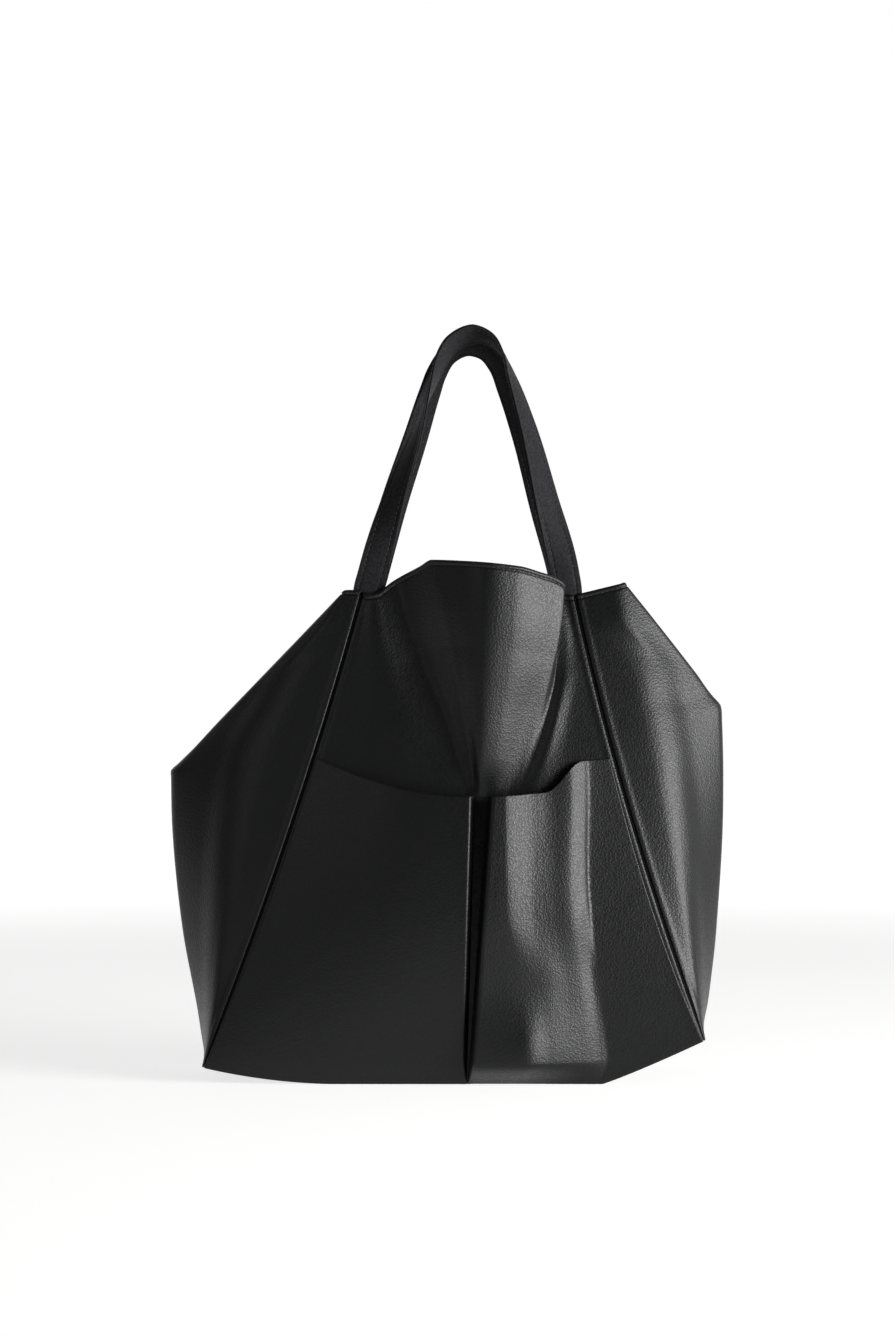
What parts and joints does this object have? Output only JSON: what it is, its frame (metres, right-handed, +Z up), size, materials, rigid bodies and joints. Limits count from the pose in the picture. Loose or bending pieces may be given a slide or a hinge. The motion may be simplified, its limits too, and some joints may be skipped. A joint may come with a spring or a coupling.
{
  "type": "tote bag",
  "caption": "Slouchy leather tote bag with outside pockets, tucked-in side panels and two swinging shoulder handles.",
  "frame": {"origin": "on the underside of the base, midway between the front and back seams", "axes": "+X to the right as seen from the front, +Y from the front to the back, +Z up towards the handles"},
  "size_m": [0.5033, 0.1772, 0.6804],
  "materials": {
    "grained_leather": "semi-gloss, fine pebble grain",
    "facing_leather": "satin",
    "strap_leather": "satin, stitched along both edges",
    "seam_welt_leather": "matt",
    "base_board_fibre": "matt"
  },
  "bodies": {
    "bag": {"front_panel": "grained_leather", "back_panel": "grained_leather", "left_side_panel": "grained_leather", "right_side_panel": "grained_leather", "base_panel": "grained_leather", "base_board": "base_board_fibre", "left_pocket": "grained_leather", "right_pocket": "grained_leather", "front_rim_facing": "facing_leather", "back_rim_facing": "facing_leather", "front_left_seam_welt": "seam_welt_leather", "front_right_seam_welt": "seam_welt_leather", "back_left_seam_welt": "seam_welt_leather", "back_right_seam_welt": "seam_welt_leather", "front_handle_left_end": "strap_leather", "front_handle_right_end": "strap_leather", "rear_handle_left_end": "strap_leather", "rear_handle_right_end": "strap_leather"},
    "front_handle": {"front_handle_strap": "strap_leather", "front_handle_lining": "strap_leather"},
    "rear_handle": {"rear_handle_strap": "strap_leather", "rear_handle_lining": "strap_leather"}
  },
  "joints": [
    {"name": "front_handle_swing", "type": "hinge", "parent": "bag", "child": "front_handle", "pos_m": [0.024, -0.0359, 0.455], "axis": [1, 0, 0], "range_deg": [0, 80]},
    {"name": "rear_handle_swing", "type": "hinge", "parent": "bag", "child": "rear_handle", "pos_m": [0.024, 0.0359, 0.455], "axis": [-1, 0, 0], "range_deg": [0, 120]}
  ]
}
